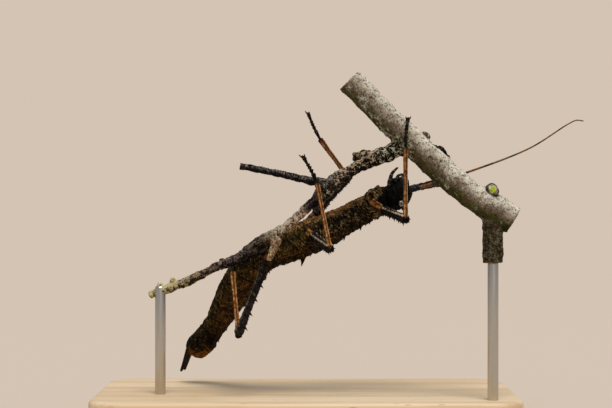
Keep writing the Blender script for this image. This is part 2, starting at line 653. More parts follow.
# mm behind the neck, to the right of the middle line and towards the belly
LEG_ROOTS = {"front_left": (3.7, -2.3, 1.0), "front_right": (3.0, 2.2, 0.55),
             "middle_left": (20.1, -3.4, 0.7), "middle_right": (19.6, 2.6, 2.8),
             "hind_left": (30.6, -3.6, -0.9), "hind_right": (30.8, 3.3, 0.2)}
LEG_RIM = 1.75  # radius of the raised rim round a leg
# mm ahead of the neck, out to the side and towards the mouth, of an eye and a feeler's socket
EYE_PLACE, EYE_RADIUS = (3.2, 2.4, -1.6), 0.82
SCAPE_PLACE, SCAPE_RIM = (5.3, 1.6, 0.6), 0.95
# mm behind the neck, degrees off the middle of the back, height; on the head, mm ahead of it
THORNS = [(1.4, 38, 0.7), (3.4, 30, 0.9), (5.6, 28, 1.0), (8.2, 26, 1.2), (10.4, 32, 0.8),
          (12.8, 26, 1.2), (15.8, 28, 1.2), (18.8, 32, 1.0), (6.6, 74, 0.6), (11.6, 72, 0.7),
          (16.6, 70, 0.8), (23.3, 20, 2.2), (25.0, 34, 1.2), (27.6, 28, 1.1), (25.4, 70, 0.8),
          (36.6, 28, 0.7), (41.6, 28, 0.7), (46.8, 30, 0.6), (52.4, 32, 0.6), (57.6, 34, 0.6),
          (62.2, 34, 0.5)]
HEAD_THORNS = [(1.0, 30, 0.5), (1.8, 24, 0.8), (3.4, 22, 0.9), (4.9, 20, 0.6)]
SMALL_THORNS = 150
FULL_LENGTH, THORN_LENGTH = 70, 0.3  # mm at which the length tone is 1, and that tone on a thorn
SMALL_THORN_LINES = [8, 20, 45, 60, 72, 74, 76]  # degrees off the middle of the back
SMALL_THORN_HEIGHT = 0.45  # thorns below this have fewer faces
THORN_FACES, SMALL_THORN_FACES = (9, 7), (5, 4)  # sides and rings
THORN_SUNK = 0.35


def heading(turn, climb):
    """Unit vectors from degrees counter-clockwise from +X in plan, and degrees above level."""
    turn, climb = np.radians(turn), np.radians(climb)
    return np.stack([np.cos(turn) * np.cos(climb), np.sin(turn) * np.cos(climb), np.sin(climb)], -1)


def eased(rows, column, at):
    """One column of a table of knots, read at many places: a cubic between two knots, whose
    slope at each knot is that of the line through the knots on either side."""
    knots, values = rows[:, 0], rows[:, column]
    here = np.clip(np.searchsorted(knots, at) - 1, 0, len(knots) - 2)
    before, beyond = np.maximum(here - 1, 0), np.minimum(here + 2, len(knots) - 1)
    span = knots[here + 1] - knots[here]
    t = (at - knots[here]) / span
    start = (values[here + 1] - values[before]) / (knots[here + 1] - knots[before]) * span
    end = (values[beyond] - values[here]) / (knots[beyond] - knots[here]) * span
    rise = values[here + 1] - values[here]
    return values[here] + t * start + t**2 * (3 * rise - 2 * start - end) + t**3 * (start + end - 2 * rise)


track_at = np.arange(BODY[0, 0], BODY[-1, 0], TRACK_STEP)
halfway = track_at + TRACK_STEP / 2
track_steps = TRACK_STEP * heading(180 - eased(BODY, TURN, halfway), -eased(BODY, DROP, halfway))
track = np.cumsum(track_steps, axis=0) - track_steps
track += NECK - np.array([np.interp(0, track_at, column) for column in track.T])


def station(at):
    """Place and axes of the body at distances behind the neck. The middle is the running sum of
    its rearward steps; belly is +Z made square to rear, and right is square to both."""
    at = np.atleast_1d(np.asarray(at, float))
    middle = np.column_stack([np.interp(at, track_at, column) for column in track.T])
    rear = heading(180 - eased(BODY, TURN, at), -eased(BODY, DROP, at))
    belly = unit(UPWARD - rear[:, 2:] * rear)
    return middle, rear, belly, np.cross(rear, belly)


FORWARD = heading(0, HEAD_TILT)
MOUTHWARD = unit(UPWARD - FORWARD[2] * FORWARD)
ASIDE = np.array([0.0, 1.0, 0.0])


def in_head(ahead, out, mouth):
    """A point from mm ahead of the neck, mm to the insect's right and mm towards the mouth."""
    return NECK + ahead * FORWARD + out * ASIDE + mouth * MOUTHWARD


def in_half(place, sign):
    """A place in the right half of the head, or its mirror image in the left one if sign is -1."""
    ahead, out, mouth = place
    return in_head(ahead, sign * out, mouth)


def leg_root(name):
    """Where a leg leaves the body."""
    at, out, up = LEG_ROOTS[name]
    middle, _, belly, right = (axis[0] for axis in station(at))
    return middle + out * right + up * belly


def thorn(foot, way, rearward, height, sides=9, rows=7):
    """A cone with a flared foot that bends to the rear: its radius falls mostly as the 1.5th
    power of what is left of its height."""
    t = np.linspace(0, 1, rows)[:, None]
    line = foot + way * (t * (height + THORN_SUNK) - THORN_SUNK) + rearward * height * 0.3 * t**2
    left = 1 - t[:, 0]
    radius = (0.16 + 0.4 * height) * (0.75 * left**1.5 + 0.25 * left) + 0.025
    grid = tube(line, radius, radius, np.array([0.3, 0.9, 0.2]), sides)
    return wrap(grid, thorn=np.repeat(0.35 + 0.65 * t, sides, 1))


def trunk(at):
    """1 on the thorax and 1 on the abdomen, each with soft ends, at distances behind the neck."""
    return rise_over(at, 0, 1.5) * (1 - rise_over(at, 29, 33)), rise_over(at, 30, 35)


def plates(at, side, back, under):
    """Height of what goes round or along the plates: overlaps, neck groove, collar and keels."""
    thorax, abdomen = trunk(at)
    lips = sum(hump(at, end - 0.45, 0.4) for end in PLATE_ENDS[1:])
    seams = sum(hump(at, end + 0.12 + 0.25 * back, 0.2) for end in PLATE_ENDS)
    overlap = 0.17 * lips * (0.5 + 0.5 * back) - 0.26 * seams
    groove = -0.45 * hump(at, -0.1, 0.35) * (1 - 0.7 * under)
    collar = 0.16 * hump(at, 0.7, 0.3) + 0.2 * hump(at, 3.6, 0.35) - 0.14 * hump(at, 2.1, 0.4)
    beading = 0.75 + 0.25 * np.cos(2 * math.pi * at / 1.7)
    keel = thorax * (0.34 * hump(side, 108, 8) * beading + 0.16 * hump(side, 45, 7)
                     - 0.2 * hump(side, 80, 9))
    keel += abdomen * (0.26 * hump(side, 98, 7) * beading - 0.12 * hump(side, 78, 8)
                       + 0.1 * hump(side, 38, 8))
    spine_line = (0.2 * beading * hump(side, 180, 5) - 0.08 * hump(side, 166, 5)) * rise_over(at, 3, 6)
    belly_line = 0.1 * hump(side, 0, 5) * rise_over(at, 4, 7) - 0.08 * hump(side, 14, 6) * thorax
    return overlap + groove + collar * (0.3 + 0.7 * back) + keel + spine_line + belly_line


def head_relief(at, side, under):
    """Height of the crown's two ridges, the cheeks, the edge over the mouth and the temples."""
    crown = 0.18 * hump(side, 158, 9) - 0.16 * hump(side, 180, 6) * rise_over(at, -5, -3.5)
    cheek = 0.2 * hump(side, 62, 16) * hump(at, -3.4, 1.4) - 0.16 * hump(at, -5.55, 0.28) * under
    return crown + cheek + 0.22 * hump(side, 112, 18) * hump(at, -1.9, 0.8)


def sockets_and_rings(points):
    """Height of the rims and hollows round legs, eyes and feelers, and waves round each leg."""
    sockets, rings = np.zeros(points.shape[:2]), np.zeros(points.shape[:2])
    for root in LEG_ROOTS:
        away = np.linalg.norm(points - leg_root(root), axis=-1)
        sockets += 0.34 * hump(away, LEG_RIM, 0.42) - 0.25 * hump(away, 0, 1.1)
        rings += np.cos(2 * math.pi * (away - LEG_RIM) / 0.62) * hump(away, 2.9, 1.1)
    for sign in (-1, 1):
        away = np.linalg.norm(points - in_half(EYE_PLACE, sign), axis=-1)
        sockets += 0.22 * hump(away, EYE_RADIUS + 0.3, 0.2) - 0.5 * hump(away, 0, EYE_RADIUS * 0.75)
        away = np.linalg.norm(points - in_half(SCAPE_PLACE, sign), axis=-1)
        sockets += 0.2 * hump(away, SCAPE_RIM, 0.2)
    return sockets, rings


def body_skin():
    """An oval at each distance behind the neck, with half depths towards the belly and the back.
    Plates, keels, furrows, sockets, wrinkles and warts then raise or sink its points along
    the ring's own outward direction. Tones carry the same features to the colours."""
    at = np.linspace(*BODY_ENDS, BODY_RINGS)
    middle, _, belly, right = station(at)
    turn = full_turn(BODY_SIDES)
    cosine, sine = np.cos(turn), np.sin(turn)
    closing = np.sqrt(1 - np.clip((at - BODY_ENDS[1] + REAR_ROUNDING) / REAR_ROUNDING, 0, 0.985) ** 2)
    wide, to_belly, to_back = ((eased(BODY, column, at) * closing)[:, None]
                               for column in (HALF_WIDTH, TO_BELLY, TO_BACK))
    deep = np.where(cosine > 0, to_belly, to_back)
    outline = (deep * cosine)[..., None] * belly[:, None] + (wide * sine)[..., None] * right[:, None]
    out = unit((cosine / deep)[..., None] * belly[:, None] + (sine / wide)[..., None] * right[:, None])
    points = middle[:, None] + outline

    # side is in degrees, 0 at the belly and 180 at the back
    at, side = np.meshgrid(at, np.degrees(np.abs(np.arctan2(sine, cosine))), indexing="ij")
    head = 1 - rise_over(at, -0.5, 0.3)
    thorax, abdomen = trunk(at)
    back = rise_over(side, 95, 125)
    under = 1 - rise_over(side, 35, 75)
    flank = (1 - back) * (1 - under)
    sockets, rings = sockets_and_rings(points)
    shaping = plates(at, side, back, under) + head * head_relief(at, side, under) + sockets

    saddle = rise_over(at, -0.2, 0.5) * (1 - rise_over(at, 2.6, 3.8))
    saddle *= 0.34 * under + 0.14 * ripple(points, 1.7, 27)
    phase = at / 0.92 + 0.5 * ripple(points, 3.2, 21)
    wrinkles = 0.075 * np.cos(2 * math.pi * phase) * flank * thorax * (1 - 0.6 * hump(side, 108, 14))
    wrinkles += 0.04 * np.cos(2 * math.pi * (phase * 1.35)) * (under + 0.6 * flank * abdomen)
    folds = 0.09 * ripple(points, 2.4, 22) + 0.05 * ripple(points, 1.1, 23)
    near, chance = grains(points, 0.72, 31.0)
    warts = np.clip(1 - near / 0.5, 0, 1) ** 1.3 * (chance > 0.3) * (0.06 + 0.1 * back + 0.05 * head)
    finest, _ = grains(points, 0.34, 37.0)
    grit = 0.035 * np.clip(1 - finest / 0.5, 0, 1)
    mounds, crest = np.zeros(at.shape), np.zeros(at.shape)
    for place, off, height in THORNS:
        bell = hump(at, place, 0.25 + 0.3 * height) * hump(side, 180 - off, 5 + 4 * height)
        mounds += 0.3 * height * bell
        crest = np.maximum(crest, bell)
    fade = rise_over(at, -6.55, -6.0) * (1 - rise_over(at, BODY_ENDS[1] - 1.0, BODY_ENDS[1]))
    height = (shaping + saddle + 0.07 * rings + wrinkles + folds + warts + grit + mounds) * fade
    skin = points + out * height[..., None]

    smudge = 1.4 * hump(at, 61.4, 1.4) * hump(side, 164, 24) + 0.9 * hump(at, 66, 1.7) * hump(side, 75, 42)
    smudge += 1.3 * hump(at, 1.3, 0.8) * hump(side, 24, 16)
    front = rise_over(at, -0.3, 0.2) * (1 - rise_over(at, 1.5, 2.4))
    smudge += 1.3 * front * rise_over(side, 52, 76)
    stria = np.cos(2 * math.pi * phase * 1.9) * thorax * (1 - 0.5 * under) * (1 - hump(at, 2, 2.5))
    stripes = 0.5 + 0.5 * np.cos(math.pi * side / 5 + 0.8 * ripple(points, 3, 29))
    rust = hump(at, 25, 5) * hump(side, 125, 16) + 0.7 * hump(at, 12, 7) * hump(side, 30, 18)
    tones = {
        "head": head,
        "abdomen": abdomen,
        "belly": (1 + np.cos(np.radians(side))) / 2,
        "crease": np.clip(-(shaping + saddle + wrinkles * 1.5 + folds * 0.5) * 4, 0, 1),
        "wart": np.clip(warts * 7, 0, 1),
        "length": at / FULL_LENGTH,
        "thorn": crest * 0.4,
        "stria": stria + 1.5 * rings,
        "rust": stripes * rust,
        "smudge": smudge,
        "saddle": rise_over(at, 0, 0.5) * (1 - rise_over(at, 4.0, 5.0)),
    }
    return wrap(skin, **tones)


def body_thorns():
    """Thorns in pairs beside the middle of the back and on the crown, and many small ones strewn
    over the back and the keels by a seeded draw. Each stands square to the skin and leans to
    the rear."""
    random = np.random.default_rng(41)
    rows = [(place, sign * off, height) for place, off, height in THORNS for sign in (-1, 1)]
    rows += [(place + random.uniform(-0.4, 0.4), random.uniform(-16, 16), random.uniform(0.3, 0.6))
             for place in np.arange(1.5, 64, 1.4)]
    places = random.uniform(1, 66, SMALL_THORNS)
    sides = random.choice([-1, 1], SMALL_THORNS)
    offs = sides * random.choice(SMALL_THORN_LINES, SMALL_THORNS) + random.normal(0, 4, SMALL_THORNS)
    strewn = zip(places, offs, random.uniform(0.15, SMALL_THORN_HEIGHT, SMALL_THORNS))
    shells = []
    for place, off, height in [*rows, *strewn]:
        middle, rear, belly, right = (axis[0] for axis in station(place))
        aside = eased(BODY, HALF_WIDTH, place) * math.sin(math.radians(off))
        up = eased(BODY, TO_BACK, place) * math.cos(math.radians(off))
        foot = aside * right - up * belly
        way = unit(foot + 0.175 * rear * np.linalg.norm(foot))
        faces = SMALL_THORN_FACES if height < SMALL_THORN_HEIGHT else THORN_FACES
        shells.append(thorn(middle + foot, way, rear, height, *faces))
    for ahead, off, height in HEAD_THORNS:
        for sign in (-1, 1):
            way = sign * math.sin(math.radians(off)) * ASIDE - math.cos(math.radians(off)) * MOUTHWARD
            foot = in_head(ahead, 0, 0) + way * (eased(BODY, TO_BACK, -ahead) - 0.05)
            shells.append(thorn(foot, way, -FORWARD, height))
    for shell in shells:
        shell["tones"]["length"] = np.full(len(shell["points"]), THORN_LENGTH)
    return shells


def cuticle():
    """Dull plates flecked in black and tan: brown on the thorax's belly, black-brown on its
    flanks, olive on the last part of the thorax and on the abdomen, and near black on the back
    and towards the abdomen's end. The first part of the thorax is grey, rust-brown streaks run
    along the thorax, the head is black, and the last plate's rim is orange-brown."""
    skin = Finish("thorny_cuticle", Specular_IOR_Level=0.06)
    blotch = skin.noise(2.6, 4, roughness=0.6, warp=0.4)
    mottle = skin.noise(0.8, 4, roughness=0.65)
    pepper = skin.noise(0.3, 3, roughness=0.6)
    belly, head = skin.tone("belly"), skin.tone("head")
    abdomen, length = skin.tone("abdomen"), skin.tone("length")
    grain = mottle * 0.45 + pepper * 0.4 + blotch * 0.15
    grain = grain + skin.tone("stria") * 0.035 + skin.tone("wart") * 0.03

    flank = skin.ramp(grain, (0.43, (7, 3, 1)), (0.5, (24, 17, 7)), (0.56, (72, 55, 30)),
                      (0.63, (150, 126, 84)))
    olive = skin.ramp(grain, (0.42, (15, 10, 2)), (0.49, (50, 39, 13)), (0.56, (84, 67, 30)),
                      (0.64, (134, 112, 64)))
    brown = skin.ramp(grain, (0.42, (26, 14, 5)), (0.49, (78, 52, 25)), (0.56, (124, 89, 50)),
                      (0.65, (166, 130, 82)))
    dark = skin.ramp(grain, (0.43, (5, 2, 1)), (0.5, (20, 13, 5)), (0.57, (52, 38, 19)),
                     (0.66, (118, 96, 60)))
    rusty = skin.ramp(grain, (0.42, (32, 16, 5)), (0.51, (80, 50, 22)), (0.64, (134, 96, 54)))
    grey = skin.ramp(grain, (0.44, (5, 2, 1)), (0.5, (42, 31, 16)), (0.56, (106, 86, 56)),
                     (0.65, (164, 144, 108)))
    orange = skin.ramp(grain, (0.42, (46, 22, 5)), (0.6, (134, 84, 28)))
    black = skin.ramp(grain, (0.47, (1, 0, 0)), (0.55, (6, 4, 2)), (0.62, (24, 18, 11)),
                      (0.68, (72, 58, 42)))

    metathorax = skin.step(length, 0.285, 0.3) * skin.step(length, 0.44, 0.4)
    uneven = belly + (blotch - 0.5) * 0.5
    rear = skin.step(length + (blotch - 0.5) * 0.12, 0.74, 0.88)
    rim = skin.step(length + (mottle - 0.5) * 0.03 + skin.step(belly, 0.12, 0.02) * 0.04, 0.95, 0.965)
    colour = skin.layers(
        flank,
        (olive, (metathorax + abdomen * 0.75) * skin.step(blotch, 0.36, 0.48)),
        (brown, skin.step(uneven, 0.74, 0.88) * (1.0 - abdomen)),
        (dark, skin.step(uneven, 0.36, 0.16) * (1.0 - abdomen * 0.5)),
        (rusty, abdomen * skin.step(belly + (blotch - 0.5) * 0.3, 0.3, 0.08) * 0.45),
        (dark, abdomen * rear * 0.9),
        (grey, skin.tone("saddle") * skin.step(blotch, 0.4, 0.52)),
        (rusty, skin.tone("rust") * skin.step(mottle, 0.36, 0.5) * 0.9),
        (orange, rim * skin.step(belly, 0.5, 0.3) * 0.9),
        (black, head),
        (paint(5, 3, 1), skin.tone("crease") * 0.85),
        (paint(4, 2, 2), skin.tone("smudge") * skin.step(blotch, 0.36, 0.5) * 0.9),
        (paint(10, 7, 4), skin.tone("thorn") * 0.85),
    )
    return skin.shade(colour, 0.75 - head * 0.2 + mottle * 0.2, pepper + mottle * 0.8, 0.1, 0.9)


# the nodes that this one skin replaces
FLESH = ["head", "prothorax", "mesothorax", "metathorax", "abdomen_front", "abdomen_middle",
         "abdomen_rear", "abdomen_end"]


def life_size(shells):
    """Shells worked out in millimetres, as metres."""
    return [{**shell, "points": shell["points"] * MM} for shell in shells]


piece("body", life_size([body_skin(), *body_thorns()]), cuticle(), "cuticle", *FLESH)


# ==== eyes and mouth ====
# Each compound eye is a low dome of fine facets in a rim of the head. Round the mouth sit
# an upper lip, two hard jaws and two pairs of jointed palps, black-brown with pale joints.
EYE_SIDES = 96
FACET_WAVES, FACET_HEIGHT = 34, 0.012
FACET_ANGLES = (0, math.pi / 3, 2 * math.pi / 3)


def eye(sign):
    """A sphere whose radius swells a little over each of many facets: the facets' rows come from
    three sets of waves at 60 degrees to each other on the dome."""
    centre = in_half(EYE_PLACE, sign)
    outwards = unit(sign * ASIDE - 0.35 * MOUTHWARD)
    polar = np.linspace(0.02, math.pi - 0.02, EYE_SIDES // 2)
    line = centre + EYE_RADIUS * np.cos(math.pi - polar)[:, None] * outwards
    around = EYE_RADIUS * np.sin(polar)
    grid = tube(line, around, around, FORWARD, EYE_SIDES)
    away = unit(grid - centre)
    across = away @ FORWARD
    along = away @ unit(np.cross(outwards, FORWARD))
    facets = sum(np.cos(FACET_WAVES * (across * math.cos(angle) + along * math.sin(angle)))
                 for angle in FACET_ANGLES)
    grid = centre + away * (EYE_RADIUS + FACET_HEIGHT * facets[..., None])
    return wrap(grid, across=across, along=along)


def eye_glaze():
    """Glossy dark brown with paler upright streaks and a pale ring near the edge."""
    glaze = Finish("eye_glaze", Coat_Roughness=0.05, Coat_IOR=1.5)
    across, along = glaze.tone("across"), glaze.tone("along")
    reach = (across * across * 2.2 + along * along) ** 0.5
    ring = glaze.step(reach, 0.5, 0.62) * glaze.step(reach, 0.86, 0.74)
    streak = glaze.step(glaze.math("SINE", across * 16.0), 0.2, 0.9) * glaze.step(reach, 0.6, 0.4)
    colour = glaze.layers(
        paint(12, 9, 7),
        (paint(96, 84, 68), streak * 0.7),
        (paint(186, 178, 162), ring * glaze.step(glaze.noise(0.3, 2), 0.35, 0.55)),
    )
    return glaze.shade(colour, 0.12 + reach * 0.1, Coat_Weight=0.5)


EYE_GLAZE = eye_glaze()
for side, sign in (("left", -1), ("right", 1)):
    piece(f"eye_{side}", life_size([eye(sign)]), EYE_GLAZE, "eye", f"eye_{side}")


# mm ahead of the neck, out to the side and towards the mouth, at each joint of a palp or cheek,
# and the half widths from its root to its tip
UPPER_PALP = [(1.4, 1.0, 2.3), (1.8, 1.35, 3.6), (2.4, 1.5, 4.65), (3.1, 1.5, 5.7), (4.8, 1.4, 6.75)]
UPPER_WIDTHS, UPPER_JOINTS = [0.38, 0.44, 0.4, 0.32, 0.2], 5
LOWER_PALP = [(2.4, 0.7, 3.3), (2.6, 0.8, 4.5), (3.2, 0.8, 5.6)]
LOWER_WIDTHS, LOWER_JOINTS = [0.3, 0.26, 0.16], 3
CHEEK = [(3.3, 1.6, 3.6), (4.4, 1.5, 4.8), (5.5, 1.1, 4.7), (6.0, 0.8, 3.9)]
CHEEK_WIDTHS, CHEEK_JOINTS = [0.34, 0.3, 0.28, 0.18], 4
PALP_SIDES, PALP_JOINT_RINGS = 18, 16


def beads(line, radius, joints, swell=0.16, waist=0.3):
    """How a jointed limb's radius goes along its line, and a tone that is 1 at the joints: in
    each joint it swells towards the far end and then nips in."""
    t = np.linspace(0, joints, len(line))
    within = t - np.floor(t - 1e-9)
    swelling = 1 + swell * within**3 - waist * (hump(within, 1.0, 0.06) + hump(within, 0.0, 0.06))
    tip = np.sqrt(1 - np.clip((t - joints + 0.35) / 0.35, 0, 0.97) ** 2)
    size = np.interp(t / joints, np.linspace(0, 1, len(radius)), radius) * swelling * tip
    return size, hump(within, 1.0, 0.1) + hump(within, 0.0, 0.1)


def palp(places, sign, radius, joints):
    """A tube of beads along a bent line on one side of the mouth."""
    line = bend([in_half(place, sign) for place in places], joints * PALP_JOINT_RINGS)
    size, pale = beads(line, radius, joints)
    return wrap(tube(line, size, size, UPWARD, PALP_SIDES), pale=np.repeat(pale[:, None], PALP_SIDES, 1))


def lobe(centre, way, wanted, length, edge, flank, rows=20, sides=28, bulge=0.0):
    """A closed egg round a middle line: an oval at each step, whose size is the sine of its
    angle from the pole, fuller towards the far end by bulge."""
    polar = np.linspace(0.03, math.pi - 0.03, rows)
    line = centre - np.cos(polar)[:, None] * way * length
    around = np.sin(polar) * (1 - bulge * np.cos(polar))
    return wrap(tube(line, around * edge, around * flank, wanted, sides))


def horn():
    """Black-brown horn with paler soft joints."""
    shell = Finish("mouth_horn", Coat_Roughness=0.3, Specular_IOR_Level=0.2)
    mottle = shell.noise(0.4, 3)
    colour = shell.layers(
        paint(5, 3, 2),
        (paint(28, 20, 12), shell.step(mottle, 0.45, 0.7)),
        (paint(104, 84, 56), shell.tone("pale") * 0.6),
    )
    return shell.shade(colour, 0.4 + mottle * 0.2, mottle, 0.03, 0.6, Coat_Weight=0.08)


HORN = horn()
for side, sign in (("left", -1), ("right", 1)):
    palps = [palp(UPPER_PALP, sign, UPPER_WIDTHS, UPPER_JOINTS),
             palp(LOWER_PALP, sign, LOWER_WIDTHS, LOWER_JOINTS)]
    piece(f"palps_{side}", life_size(palps), HORN, "leg_dark", f"palp_{side}")
jaw_way, lip_way = unit(FORWARD * 0.5 + MOUTHWARD), unit(FORWARD * 0.35 + MOUTHWARD)
jaws = [lobe(in_half((4.9, 1.0, 3.3), sign), jaw_way, ASIDE, 1.25, 0.85, 0.9, bulge=-0.2)
        for sign in (-1, 1)]
lip = lobe(in_head(5.95, 0, 2.1), lip_way, ASIDE, 1.3, 1.15, 0.38, bulge=-0.15)
chin = lobe(in_head(3.6, 0, 4.0), FORWARD, ASIDE, 1.5, 1.3, 0.55)
cheeks = [palp(CHEEK, sign, CHEEK_WIDTHS, CHEEK_JOINTS) for sign in (-1, 1)]
piece("jaws", life_size([*jaws, lip, chin, *cheeks]), HORN, "head_cuticle")


# ==== feelers ====
# Two long antennae of many short joints that grow thinner outwards. The first two joints
# are thick and black, and the rest orange-brown with dark bands. They sit in head sockets.
FEELERS = {
    "left": [(24.3, -7.6, 53.1), (27.2, -8, 54), (37.6, -9, 57.3), (52.9, -9, 63.2),
             (62, -9, 68.9), (64, -9, 69.8), (65.7, -9, 69.6)],
    "right": [(24.3, -4.4, 53.4), (28, -3.9, 54.2), (33, -3.6, 55.2), (36.6, -2, 56.2),
              (38.6, 4, 56.8), (39.6, 14, 57.1), (41, 30, 57.6)],
}
FEELER_JOINTS, FEELER_JOINT_RINGS, FEELER_SIDES = 30, 12, 16
FEELER_WIDTHS = [0.4, 0.32, 0.24, 0.19, 0.17, 0.14]
STOUT_WIDTH, STOUT_SHARE = 0.62, (0.058, 0.072)  # of the length, where the stout joints end


def feeler(knots):
    """A tube of beads: two stout ones, then many slim ones. Tones tell the stout ones, the
    joints, and the place along it."""
    line = bend(knots, FEELER_JOINTS * FEELER_JOINT_RINGS)
    along = np.linspace(0, 1, len(line))
    size, joint = beads(line, FEELER_WIDTHS, FEELER_JOINTS, 0.1, 0.14)
    stout = 1 - rise_over(along, *STOUT_SHARE)
    stout_size = STOUT_WIDTH * (1 - 0.28 * hump(along, 0.045, 0.006) - 0.2 * hump(along, 0.0, 0.01))
    size = size * (1 - stout) + stout_size * stout
    spread = {"stout": stout, "joint": joint * (1 - stout), "along": along}
    tones = {name: np.repeat(value[:, None], FEELER_SIDES, 1) for name, value in spread.items()}
    return wrap(tube(line, size, size, UPWARD, FEELER_SIDES), **tones)


def feeler_skin():
    """Orange-brown, with a dark line at each joint and broad dark bands here and there."""
    skin = Finish("feeler_skin", Specular_IOR_Level=0.2)
    fine = skin.noise(0.4, 3)
    band = skin.math("SINE", skin.tone("along") * 44.0 + fine * 2.0)
    colour = skin.layers(
        paint(84, 50, 20),
        (paint(136, 90, 44), skin.step(fine, 0.35, 0.65)),
        (paint(28, 17, 9), skin.step(band, 0.2, 0.8) * 0.85),
        (paint(34, 20, 10), skin.tone("joint") * 0.6),
        (paint(8, 6, 5), skin.tone("stout")),
    )
    return skin.shade(colour, 0.45 + fine * 0.2, fine, 0.03, 0.5)


FEELER_SKIN = feeler_skin()
for side, knots in FEELERS.items():
    piece(f"antenna_{side}", life_size([feeler(knots)]), FEELER_SKIN, "antenna",
          *(f"antenna_{side}_{part}" for part in ("base", "middle", "tip")))


# ==== ovipositor ====
# The beak that lays the eggs: two horny valves, one over the other, which run on from the
# last ring. They are grooved lengthwise, dark brown, and the lower one is the longer.
BEAK_AT, BEAK_LENGTH, BEAK_SHORTER = 68.4, 8.2, 1
BEAK_RISE, BEAK_TURN, BEAK_PARTING = 2.1, 0.42, 0.3
VALVE_RINGS, VALVE_SIDES = 90, 40
GROOVE_AT, GROOVE_WIDTH = 34, 13  # degrees from the keel


def valve(side, length):
    """An oval at each step of a straight line that tapers to a blunt tip; a keel runs along its
    outer face and a groove on each side of that."""
    t = np.linspace(0, 1, VALVE_RINGS)
    middle, rear, belly, _ = (axis[0] for axis in station(BEAK_AT))
    way = unit(rear - BEAK_TURN * belly)
    up = unit(belly - (belly @ way) * way)
    thick, wide = 0.42 - 0.18 * t, 1.15 - 0.75 * t
    lift = BEAK_RISE + side * (thick - 0.05 + BEAK_PARTING * t**2)
    line = middle + way * (length * t)[:, None] + up * lift[:, None]
    tip = np.sqrt(1 - np.clip((t - 0.94) / 0.06, 0, 0.98) ** 2)
    turns = full_turn(VALVE_SIDES)
    off = np.degrees(np.abs(np.arctan2(np.sin(turns), side * np.cos(turns))))
    groove = hump(off, GROOVE_AT, GROOVE_WIDTH)
    rings = 0.04 * np.cos(t * 60)[:, None] * hump(off, 60, 30)
    relief = 1 + 0.14 * hump(off, 0, 16) - 0.1 * groove + rings
    grid = tube(line, (thick * tip)[:, None] * relief, (wide * tip)[:, None] * relief, up, VALVE_SIDES)
    along, groove = np.meshgrid(t, groove, indexing="ij")
    return wrap(grid, along=along, groove=groove)


def beak_horn():
    """Mottled dark brown horn, darker in the grooves and towards the tip."""
    shell = Finish("beak_horn", Specular_IOR_Level=0.2)
    mottle = shell.noise(0.7, 4)
    darker = shell.tone("groove") * 0.6 + shell.step(shell.tone("along"), 0.6, 1.0) * 0.5
    colour = shell.layers(
        paint(16, 10, 5),
        (paint(48, 33, 18), shell.step(mottle, 0.4, 0.7)),
        (paint(6, 4, 3), darker),
    )
    return shell.shade(colour, 0.5 + mottle * 0.25, mottle, 0.05, 0.6)


BEAK_HORN = beak_horn()
for name, side, length in (("lower", 1, BEAK_LENGTH), ("upper", -1, BEAK_LENGTH - BEAK_SHORTER)):
    piece(f"beak_{name}", life_size([valve(side, length)]), BEAK_HORN, "leg_dark", f"ovipositor_{name}")


# ==== legs ====
# Six jointed legs: a short hip, a ridged thigh with thorns along its outer edge and a cream
# line on its inner one, a slim ridged shin, and a foot of five pads with two claws.
# mm of the hip, thigh, shin, heel and toes
LEG_LENGTHS = {"front": (3.8, 15.5, 16.4, 3.5, 3.4), "middle": (3.0, 14.0, 15.6, 3.4, 3.3),
               "hind": (3.0, 18.0, 15.2, 4.3, 2.8)}
# the heading of the hip, thigh, shin, heel and toes
LEG_WAYS = {
    "front_left": [(-20.8, -31.8), (-73.2, -7.1), (-90.4, 85.4), (57, 86.1), (74.1, 58)],
    "front_right": [(52, 26), (-0.4, 12.7), (-91.5, 19.5), (-120, 30), (-124, 6)],
    "middle_left": [(-72, -13), (-73.3, -10.4), (129, 72.7), (-160, 63), (-170, 59)],
    "middle_right": [(0, 51), (41.2, 39.9), (-122.6, 34.5), (162, 62), (-140, 61)],
    "hind_left": [(-93.8, -37), (-137.8, -62.5), (107.6, 70.4), (-9.3, 31.9), (-8.8, 30.7)],
    "hind_right": [(96.2, -24.7), (138, -9), (-83.9, 7.2), (-87.6, 0), (-84.6, -4)],
}
HIP, THIGH, SHIN, FOOT = 1.15, 1.15, 0.6, 0.42  # half widths
# flatness, keels, how high the keels and the knobs are, rings and sides
HIP_FORM = (0.9, 5, 0.08, 0.06, 40, 32)
THIGH_FORM = (0.85, 4, 0.16, 0.075, 130, 48)
SHIN_FORM = (0.85, 4, 0.12, 0.04, 110, 32)
KNEE_OVERLAP, HIP_OVERLAP = 0.36, 0.3
TOE_ENDS = np.array([0, 0.36, 0.5, 0.62, 0.72, 1.0])
TOE_RINGS, TOE_SIDES = 110, 20
CLAW_LENGTH, CLAW_SPREAD, CLAW_SUNK = 1.15, 0.62, 0.3
CLAW_RINGS, CLAW_SIDES = 14, 12
# how strong the cream line of each thigh is, and how dark its hip
LEG_TINTS = {"front_left": (1, 0), "front_right": (0.15, 0.6),
             "middle_left": (0.8, 0.05), "middle_right": (0.1, 0.55),
             "hind_left": (0.1, 0.6), "hind_right": (0.3, 0.6)}
THIGH_THORNS, THIGH_THORN_HEIGHT = np.linspace(0.3, 0.9, 4), 0.85
KNEE_THORN_HEIGHT, KNEE_THORN_FACES = 0.5, (7, 5)  # sides and rings
# shares of the edge and flank directions that a row of teeth stands along, and the thigh's height
TOOTH_ROWS = [(1, 0.75, 0.4), (1, -0.75, 0.4), (-1, 0.8, 0.26), (-1, -0.8, 0.26)]
THIGH_TEETH, SHIN_TEETH, SHIN_TOOTH_HEIGHT = 9, 7, 0.11
THIGH_TOOTH_FACES, SHIN_TOOTH_FACES = (6, 4), (5, 4)


